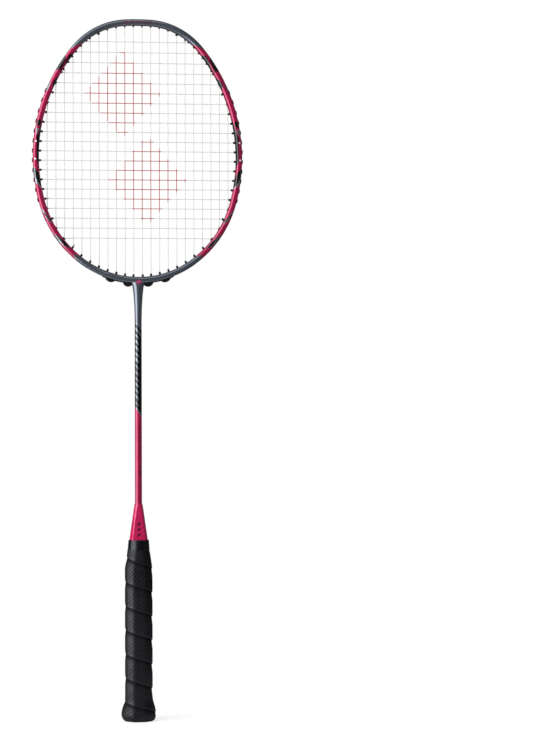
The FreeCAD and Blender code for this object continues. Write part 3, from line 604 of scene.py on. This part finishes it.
def make_holes():
    """{("main", index, top): Hole} and {("cross", index, side): Hole}; a shared hole is under both names."""
    holes = {}
    for index in range(MAIN_COUNT):
        from_edge = min(index, MAIN_COUNT - 1 - index)
        side = -1 if main_x(index) < 0 else 1
        for top, shared in ((True, SHARED_TOP), (False, SHARED_BOTTOM)):
            way = Vector((0, 0, 1 if top else -1))
            if from_edge in shared:
                cross = shared[from_edge]
                meeting = Vector((main_x(index), 0, cross_z(cross)))
                heading, offset, _ = place_on_hoop(meeting)
                normal = Vector((side * math.sin(heading), 0, math.cos(heading)))
                mouth = meeting - normal * max(offset - mouth_offset("shared"), 0)
                hole = Hole(mouth, (way + Vector((side, 0, 0))).normalized(), "shared")
                holes["main", index, top] = holes["cross", cross, side] = hole
                continue
            kind = "short" if top else "long"
            if index in SLIM_MAINS:
                kind = "red" if top else "strip"
            elif from_edge == THICK_TOP_MAIN and top:
                kind = "thick"
            heading = heading_where(abs(main_x(index)), mouth_offset(kind), 0, top)
            lean = -side * THROAT_LEAN if kind == "strip" and from_edge == MAIN_COUNT // 2 - 1 else 0.0
            holes["main", index, top] = Hole(hoop_point(heading, mouth_offset(kind), side), way, kind, lean)
    for index in range(CROSS_COUNT):
        kind = "short" if index < SHOULDER_CROSSES else "saddle" if index in SADDLE_CROSSES else "long"
        heading = heading_where(cross_z(index), mouth_offset(kind), 1)
        for side in (-1, 1):
            if ("cross", index, side) not in holes:
                mouth = hoop_point(heading, mouth_offset(kind), side)
                holes["cross", index, side] = Hole(mouth, Vector((side, 0, 0)), kind)
    return holes


HOLES = make_holes()


END_ROOM = 1.0            # no crossing is closer than this to the end of a run
PATH_STEP = 1.15          # the longest step between two points of a path
BEND_STEPS = 6
BEND_SHARE = 0.45         # the most that a bend takes up of the shorter run beside it
SHORTEST_BEND = 0.02


def woven_path(route, family):
    """Points every millimetre or so along a string: round its turns, over and under the other string.

    The route is a list of (hole, hole) runs; a string leaves each run's second hole for the next run's first.
    """
    axis = Vector((0, 0, 1)) if family == "main" else Vector((1, 0, 0))
    aside = SHARED_APART if family == "main" else -SHARED_APART
    knots = []                # (point in the middle plane, height over it, bend radius)

    def tail(hole):
        knots.append((hole.mouth - hole.way * TAIL, aside * (hole.kind == "shared"), 0.0))

    def through(hole, inwards):
        shared = hole.kind == "shared"
        height, ease = (aside, SHARED_EASE) if shared else (0.0, STRING_EASE)
        ends = [(hole.turn, height, STRING_BEND), (hole.rest(axis), height, ease)]
        knots.extend(ends if inwards else ends[::-1])

    first_tie, last_tie = route[0][0], route[-1][1]
    tail(first_tie)
    through(first_tie, False)
    for start, end in route[1:-1]:
        through(start, True)
        for point, height in crossings(family, start.rest(axis), end.rest(axis)):
            knots.append((point, height, 0.0))
        through(end, False)
    through(last_tie, True)
    tail(last_tie)
    return rounded_path(knots)


def crossings(family, a, b):
    """Where a run from a to b passes the other string, and how high it rides over or under it there."""
    found = []
    if family == "main":
        index = round(a.x / MAIN_PITCH + (MAIN_COUNT - 1) / 2)
        for cross in range(CROSS_COUNT):
            z = cross_z(cross)
            if min(a.z, b.z) + END_ROOM < z < max(a.z, b.z) - END_ROOM:
                found.append((Vector((main_x(index), 0, z)), STRING_RADIUS * (-1) ** (index + cross)))
        return found if a.z > b.z else found[::-1]
    index = min(range(CROSS_COUNT), key=lambda i: abs(cross_z(i) - (a.z + b.z) / 2))
    for main in range(MAIN_COUNT):
        x = main_x(main)
        if min(a.x, b.x) + END_ROOM < x < max(a.x, b.x) - END_ROOM:
            found.append((Vector((x, 0, cross_z(index))), -STRING_RADIUS * (-1) ** (index + main)))
    return found if a.x < b.x else found[::-1]


def rounded_path(knots):
    """The polyline through the knots with its corners rounded, and heights eased from knot to knot."""
    flat, heights = [], []
    for i, (point, height, bend) in enumerate(knots):
        if bend and 0 < i < len(knots) - 1:
            back, ahead = knots[i - 1][0] - point, knots[i + 1][0] - point
            room = min(back.length, ahead.length) * BEND_SHARE
            back.normalize()
            ahead.normalize()
            half = back.angle(ahead) / 2
            reach = min(bend / math.tan(half), room) if half < math.pi / 2 - 1e-3 else 0.0
            if reach > SHORTEST_BEND:
                start, end = point + back * reach, point + ahead * reach
                for step in range(BEND_STEPS + 1):
                    t = step / BEND_STEPS
                    flat.append(start * (1 - t) ** 2 + point * 2 * t * (1 - t) + end * t * t)
                    heights.append(height)
                continue
        flat.append(point)
        heights.append(height)
    path = []
    for (a, b), (low, high) in zip(zip(flat, flat[1:]), zip(heights, heights[1:])):
        steps = max(1, math.ceil((b - a).length / PATH_STEP))
        for step in range(steps):
            t = step / steps
            ease = (1 - math.cos(math.pi * t)) / 2
            at = a.lerp(b, t)
            path.append((at.x, low + (high - low) * ease, at.z))
    path.append((flat[-1].x, heights[-1], flat[-1].z))
    return path


def string_route(family, count, start, end, ties):
    """The (hole, hole) runs of one string, to and fro, between the two holes that it is tied at."""
    first, last = (HOLES[tie] for tie in ties)
    runs = [(first, first)]
    for index in range(count):
        ends = (HOLES[family, index, start], HOLES[family, index, end])
        runs.append(ends if index % 2 == 0 else ends[::-1])
    return runs + [(last, last)]


# The hitches on the tied ends.
HITCH_BACK = 0.75         # from the string's end, where the coil starts
HITCH_TURNS = 2.25
HITCH_PITCH = 0.62
HITCH_RADIUS = 0.66
HITCH_THINNING = 0.92     # the string is pulled thinner there
HITCH_STEPS = 60


def hitch_path(hole, end):
    """A coil round a string's tied end, from near the mouth of its hole to just past the end."""
    axis, through = -hole.way, Vector((0, 1, 0))
    side = axis.cross(through).normalized()
    start = Vector(end) - axis * HITCH_BACK
    path = []
    for step in range(HITCH_STEPS + 1):
        turn = step / HITCH_STEPS * HITCH_TURNS * 2 * math.pi
        out = side * math.cos(turn) + through * math.sin(turn)
        path.append(start + axis * (HITCH_PITCH * turn / (2 * math.pi)) + out * HITCH_RADIUS)
    return path


def make_strings(material):
    mains = string_route("main", MAIN_COUNT, False, True, [("cross", SIDE_TIE, -1), ("cross", SIDE_TIE, 1)])
    crosses = string_route("cross", CROSS_COUNT, 1, -1, [("main", TOP_TIE, True), ("main", LOW_TIE, False)])
    ends = []
    for route, family, node in ((mains, "main", "string_mains"), (crosses, "cross", "string_crosses")):
        path = woven_path(route, family)
        points, faces, along, around = tube(path, STRING_RADIUS)
        piece(f"woven_{node}", points, faces, material, node, {"along": along, "around": around})
        ends += [(route[0][0], path[0]), (route[-1][1], path[-1])]
    points, faces, along, around = [], [], [], []
    for hole, end in ends:
        more, quads, run, ring = hitch_tube(hitch_path(hole, end))
        faces += [tuple(i + len(points) for i in quad) for quad in quads]
        points += more
        along += run
        around += ring
    piece("tied_ends", points, faces, material, "string_knots", {"along": along, "around": around})


# --- grip ---
# Sections of the wrapped handle from the top down: (z, width, depth, bevel).
GRIP_SECTIONS = [
    (170.0, 20.4, 20.2, 6.1),
    (164.1, 21.2, 21.0, 6.2),
    (155.0, 23.8, 23.0, 6.4),
    (146.0, 26.3, 24.8, 6.3),
    (22.5, 26.3, 24.8, 6.3),
    (19.5, 27.2, 25.7, 6.8),
    (13.7, 30.7, 29.1, 8.0),
    (8.0, 33.3, 31.7, 9.0),
    (5.0, 33.4, 31.8, 9.0),
    (3.2, 32.5, 30.9, 8.8),
    (1.2, 29.9, 28.3, 8.2),
    (0.3, 27.3, 25.7, 7.7),
    (0.1, 25.0, 23.4, 7.0),
]
FLARE_BELOW = 20.0        # the butt's flare, where a place along the outline isn't its height
CORNER_POWER = 18         # of the octagon's rounded corners; a higher one is sharper

PITCH = 23.06             # of the wrap
LINE_LEFT = 134.8         # the height of one overlap at the left side
WRAP_TURNS = 9.0          # from above the handle's top to below its end, then trimmed
FIRST_TURN = -0.6
GRIP_BOTTOM, GRIP_TOP = 0.3, 165.4
RECESS = 0.85             # how deep a wrap lies where the next one covers it

# Across the tape, as shares of the pitch from its lower edge: the rounded edge, and the part that tucks in
# under the next turn.
EDGE_ROUND = 0.03
TUCK_START, TUCK_LENGTH = 0.55, 0.4
BURIED = 1.25             # how many recesses deep the tape lies past the next turn's edge
LOW_ROWS = [0.0, 0.008, 0.02]
LATTICE_START, LATTICE_END = 0.045, 0.925
HIGH_ROWS = [0.945, 0.985, 1.0, 1.05]
CELLS_ROUND = 44
CELLS_ACROSS = 11

MEAN_RADIUS = 12.9        # turns a hole's width into an angle
HOLE_SIDES = 8
HOLE_RADIUS = 0.56
HOLE_DEPTH = 0.55
# The holes' rings carry painted shade: faint at the rim, full at the bottom.
HOLE_RINGS = [(HOLE_RADIUS, 0.0, 0.15), (HOLE_RADIUS * 0.82, HOLE_DEPTH, 1.0)]   # (radius, depth, darkness)
# How much painted shade darkens the seam under each turn's edge, and the power that keeps it close to that
# edge.
SEAM_PAINTED_SHADE, SEAM_POWER = 0.75, 6


def grip_lengths():
    """Each section's place along the handle's outline, measured down from the top; z where it is straight."""
    places = [GRIP_SECTIONS[0][0]]
    for (z_a, w_a, _, _), (z_b, w_b, _, _) in zip(GRIP_SECTIONS, GRIP_SECTIONS[1:]):
        length = math.hypot(z_a - z_b, (w_a - w_b) / 2) if z_b < FLARE_BELOW else z_a - z_b
        places.append(places[-1] - length)
    return places


def octagon_radius(turn, width, depth, bevel):
    """The radius of a rounded octagon at an angle; arrays allowed."""
    half_x, half_y = width / 2, depth / 2
    slope = (half_x + half_y - bevel) / math.sqrt(2)
    total = 0.0
    for k in range(8):
        away = (half_x, slope, half_y, slope)[k % 4]
        total = total + np.maximum(np.cos(turn - k * math.pi / 4), 0) ** CORNER_POWER / away**CORNER_POWER
    return total ** (-1 / CORNER_POWER)


def on_grip(turn, place, sink):
    """Points at an angle round the handle and a place along it, sunk below the surface."""
    places = grip_lengths()[::-1]
    z, width, depth, bevel = (np.interp(place, places, [s[i] for s in GRIP_SECTIONS][::-1]) for i in range(4))
    radius = octagon_radius(turn, width, depth, bevel) - sink
    return np.stack([radius * np.cos(turn), radius * np.sin(turn), z], axis=-1)


def wrap_sink(t):
    """How far the tape's surface lies below the fullest radius, across its width from its lower edge."""
    edge = np.clip(1 - t / EDGE_ROUND, 0, 1) ** 2
    tuck = np.clip((t - TUCK_START) / TUCK_LENGTH, 0, 1)
    return RECESS * (edge + tuck * tuck * (3 - 2 * tuck) * (t <= 1.0) + (t > 1.0) * BURIED)


def on_wrap(turn, t, more=0.0):
    """Points on the tape, which climbs leftwards across the front; turn grows from the left to the front."""
    place = LINE_LEFT + PITCH * (1 - turn / (2 * math.pi) + t)
    return on_grip(turn + math.pi, place, wrap_sink(t) + more)


def make_grip(material):
    """One long ribbon round the handle, each turn's lower edge over the one below, with sunk holes."""
    columns = int(WRAP_TURNS * CELLS_ROUND)
    lattice = np.linspace(LATTICE_START, LATTICE_END, CELLS_ACROSS + 1)
    rows = np.concatenate((LOW_ROWS, lattice, HIGH_ROWS))
    width = len(rows)
    angle = (FIRST_TURN + np.arange(columns + 1) / CELLS_ROUND) * 2 * math.pi
    turn, t = np.meshgrid(angle, rows, indexing="ij")
    points = on_wrap(turn, t).reshape(-1, 3).tolist()
    # Painted shade, strongest where the tape lies sunk under the next turn.
    deep = (np.clip(wrap_sink(t) / RECESS, 0, 1).reshape(-1) ** SEAM_POWER * SEAM_PAINTED_SHADE).tolist()
    faces = []
    rim = []                  # (turn, t, sink, darkness) of the holes' points
    ring = [2 * math.pi * (k + 0.5) / HOLE_SIDES for k in range(HOLE_SIDES)]
    for i in range(columns):
        for j in range(width - 1):
            a, b = i * width + j, i * width + j + 1
            c, d = (i + 1) * width + j + 1, (i + 1) * width + j
            row = j - len(LOW_ROWS)
            if not (1 <= row < CELLS_ACROSS - 1 and (i + row) % 2):
                faces.append((a, d, c, b))
                continue
            middle_turn = (angle[i] + angle[i + 1]) / 2
            middle_t = (rows[j] + rows[j + 1]) / 2
            start = len(points) + len(rim)
            for radius, sink, dark in HOLE_RINGS:
                for at in ring:
                    hole_turn = middle_turn + radius * math.cos(at) / MEAN_RADIUS
                    rim.append((hole_turn, middle_t + radius * math.sin(at) / PITCH, sink, dark))
            # The ring's points run anticlockwise from the right; a is low left, d low right, c high right.
            outer = [start + k for k in range(HOLE_SIDES)]
            inner = [k + HOLE_SIDES for k in outer]
            for k in range(HOLE_SIDES):
                after = (k + 1) % HOLE_SIDES
                faces.append((outer[k], outer[after], inner[after], inner[k]))
            faces.append(tuple(inner))
            for k, corner in ((0, c), (2, b), (4, a), (6, d)):
                faces.append((corner, outer[k + 1], outer[k]))
            for k, one, two in ((1, c, b), (3, b, a), (5, a, d), (7, d, c)):
                faces.append((one, two, outer[(k + 1) % HOLE_SIDES], outer[k]))
    turn, t, sink, dark = np.array(rim).T
    points += on_wrap(turn, t, sink).tolist()
    deep += dark.tolist()
    made = piece("wrapped_grip", points, faces, material, "grip_tape", {"deep": deep})
    trim(made, GRIP_BOTTOM, GRIP_TOP)


def trim(made, low, high):
    """Cuts off what lies below and above two heights."""
    work = bmesh.new()
    work.from_mesh(made.data)
    for height, way in ((low, -1), (high, 1)):
        parts = work.verts[:] + work.edges[:] + work.faces[:]
        bmesh.ops.bisect_plane(
            work, geom=parts, plane_co=(0, 0, height * MM), plane_no=(0, 0, way), clear_outer=True)
    bmesh.ops.recalc_face_normals(work, faces=work.faces)
    work.to_mesh(made.data)
    work.free()


# (radius, z) down the finishing tape, from its upper edge to its lower one.
BAND_PROFILE = [
    (8.9, 173.9), (9.55, 174.05), (9.78, 173.75), (9.86, 173.0), (9.95, 171.5), (10.06, 169.6),
    (10.17, 167.8), (10.28, 166.1), (10.40, 164.7), (10.42, 163.9), (10.2, 163.45), (9.6, 163.4),
]
BAND_SEGMENTS = 144
TAPE_THICKNESS = 0.16
TAPE_END = math.radians(205)   # where the outer layer's loose end lies
TAPE_LAYER = math.pi * 0.9     # how far round the outer layer shows
WRINKLE_HEIGHT, EDGE_WAVE = 0.018, 0.05


def make_band(material):
    """The finishing tape: two layers of thin tape round the cone's skirt, with the loose end showing."""
    rng = random.Random(5)
    waves = [(rng.randint(2, 9), rng.uniform(0, 6.3), rng.uniform(0.1, 0.9)) for _ in range(6)]
    count = len(BAND_PROFILE)
    points, faces = [], []
    for i in range(BAND_SEGMENTS):
        turn = 2 * math.pi * i / BAND_SEGMENTS
        layer = TAPE_THICKNESS if (turn - TAPE_END) % (2 * math.pi) < TAPE_LAYER else 0.0
        edge = sum(math.sin(n * turn + phase) for n, phase, _ in waves) * EDGE_WAVE
        for j, (radius, z) in enumerate(BAND_PROFILE):
            if 0 < j < count - 1:
                wrinkle = sum(math.sin(n * turn + phase + z * k) for n, phase, k in waves) * WRINKLE_HEIGHT
                radius += layer + wrinkle
            points.append((radius * math.cos(turn), radius * math.sin(turn), z + edge))
    for i in range(BAND_SEGMENTS):
        k = (i + 1) % BAND_SEGMENTS
        for j in range(count - 1):
            faces.append((i * count + j, i * count + j + 1, k * count + j + 1, k * count + j))
    piece("finishing_band", points, faces, material, "finishing_tape")


# --- materials on the CAD nodes ---
def dress(material, *names):
    """Gives CAD nodes a material."""
    for name in names:
        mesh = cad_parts[name].data
        mesh.materials.clear()
        mesh.materials.append(material)


dress(hoop_paint(), "head_hoop", "throat_neck")
dress(shaft_paint(), "shaft_tube")
dress(cone_paint(), "cone_cap")
nylon = moulded("black_nylon", linear(20, 20, 22), roughness=0.36, scale=2.2)
dress(nylon, "grommets_top_left", "grommets_top_right", "grommets_bottom_left", "grommets_bottom_right")
dress(nylon, "throat_strip_left", "throat_strip_right", "grommets_side_right")
red_nylon = moulded("dark_red_nylon", linear(96, 18, 46), roughness=0.36, scale=2.2)
dress(red_nylon, "grommets_side_left", "grommets_top_middle")
dress(moulded("joint_resin", linear(34, 34, 36), roughness=0.55), "t_joint_core")
dress(moulded("butt_plastic", linear(28, 28, 30), roughness=0.5, scale=1.2, depth=0.00006), "butt_cap")
dress(moulded("plate_plastic", linear(24, 24, 27), roughness=0.3, scale=0.9), "end_plate")
dress(handle_wood(), "handle_core")

make_strings(string_material())
make_grip(grip_material())
make_band(band_material())


# --- floor, light and camera ---
FLOOR_FADE = (40.0, 420.0)   # millimetres from the racket


def floor_material():
    """Pale and even, fading into the surroundings away from the racket."""
    graph = Graph("pale_floor")
    vector, x, y, _ = graph.place()
    away = graph.math("SQRT", graph.math("MULTIPLY_ADD", x, x, graph.times(y, y)))
    shown = graph.ramp(away, *FLOOR_FADE, 1.0, 0.0)
    patches = graph.noise(vector, scale=0.02, detail=3.0)
    shade = graph.mix(patches, linear(188, 188, 188), linear(196, 196, 196))
    glow = graph.times(graph.add("ShaderNodeLightPath").outputs["Is Camera Ray"], 0.66)
    return graph.set(
        Base_Color=shade, Roughness=0.8, Specular_IOR_Level=0.2, Alpha=shown, Emission_Color=(1, 1, 1, 1),
        Emission_Strength=glow)


def make_floor():
    """A round floor that the racket stands on."""
    count, radius = 96, 0.45
    points = [(radius * math.cos(a), radius * math.sin(a), 0) for a in np.arange(count) * 2 * math.pi / count]
    mesh = bpy.data.meshes.new("floor")
    mesh.from_pydata(points, [], [tuple(range(count))])
    mesh.materials.append(floor_material())
    floor = bpy.data.objects.new("floor", mesh)
    scene.collection.objects.link(floor)


AIM = Vector((0, 0, 0.36))   # near the racket's middle


def softbox(name, bearing, distance, height, size, radiance):
    """An upright area light facing the racket; bearing is degrees from the front, positive to the right."""
    turn = math.radians(bearing)
    light = bpy.data.lights.new(name, "AREA")
    light.shape = "RECTANGLE"
    light.size, light.size_y = size
    light.energy = radiance * math.pi * size[0] * size[1]
    made = bpy.data.objects.new(name, light)
    made.location = (math.sin(turn) * distance, -math.cos(turn) * distance, height)
    made.rotation_euler = (AIM - made.location).to_track_quat("-Z", "Y").to_euler()
    scene.collection.objects.link(made)


SKY_REFLECTED, SKY_AMBIENT, SKY_SEEN = 0.045, 0.42, 1.0


def make_world():
    """White to the camera, bright as ambient light, and dim in reflections."""
    world = bpy.data.worlds.new("studio")
    scene.world = world
    world.use_nodes = True
    nodes, links = world.node_tree.nodes, world.node_tree.links
    nodes.clear()
    seen = nodes.new("ShaderNodeLightPath")
    ambient = nodes.new("ShaderNodeMapRange")
    ambient.inputs["To Min"].default_value = SKY_REFLECTED
    ambient.inputs["To Max"].default_value = SKY_AMBIENT
    strength = nodes.new("ShaderNodeMapRange")
    strength.inputs["To Max"].default_value = SKY_SEEN
    background = nodes.new("ShaderNodeBackground")
    background.inputs["Color"].default_value = (1, 1, 1, 1)
    output = nodes.new("ShaderNodeOutputWorld")
    links.new(seen.outputs["Is Diffuse Ray"], ambient.inputs["Value"])
    links.new(ambient.outputs[0], strength.inputs["To Min"])
    links.new(seen.outputs["Is Camera Ray"], strength.inputs["Value"])
    links.new(strength.outputs[0], background.inputs["Strength"])
    links.new(background.outputs[0], output.inputs["Surface"])


PICTURE_HEIGHT = 734      # in units of its own, as are the next two
MIDDLE_LEFT, MIDDLE_LOW = 128.4, 2.75   # how far left and low the racket's middle is in the picture
METRES_PER_UNIT = 0.9629 * MM   # at the racket's distance
CAMERA_DISTANCE = 2.4
CAMERA_YAW = 4.5          # degrees that the camera stands to the left of square on
CAMERA_ROLL = 0.11        # degrees
SENSOR_HEIGHT = 24.0


def make_camera():
    """A long lens, a little to the left of square on, level with the racket's middle."""
    focal = CAMERA_DISTANCE / METRES_PER_UNIT
    aside = math.degrees(math.atan(MIDDLE_LEFT / focal))
    camera = bpy.data.cameras.new("camera")
    camera.sensor_fit = "VERTICAL"
    camera.sensor_height = SENSOR_HEIGHT
    camera.lens = SENSOR_HEIGHT * focal * math.cos(math.radians(aside)) / PICTURE_HEIGHT
    camera.clip_end = 20.0
    made = bpy.data.objects.new("camera", camera)
    turn = math.radians(CAMERA_YAW)
    height = HEIGHT / 2 * MM + MIDDLE_LOW * METRES_PER_UNIT
    made.location = (-math.sin(turn) * CAMERA_DISTANCE, -math.cos(turn) * CAMERA_DISTANCE, height)
    made.rotation_euler = (math.radians(90), math.radians(CAMERA_ROLL), -math.radians(CAMERA_YAW + aside))
    scene.collection.objects.link(made)
    scene.camera = made


make_floor()
make_world()
softbox("key", bearing=-63, distance=1.3, height=0.45, size=(1.35, 2.8), radiance=2.7)
softbox("top", bearing=-10, distance=0.9, height=1.55, size=(1.0, 0.5), radiance=1.3)
softbox("fill", bearing=75, distance=1.8, height=0.6, size=(0.7, 1.4), radiance=0.08)
softbox("back", bearing=180, distance=1.5, height=1.2, size=(1.4, 1.0), radiance=0.6)
make_camera()
scene.view_settings.view_transform = "Standard"
scene.view_settings.look = "None"
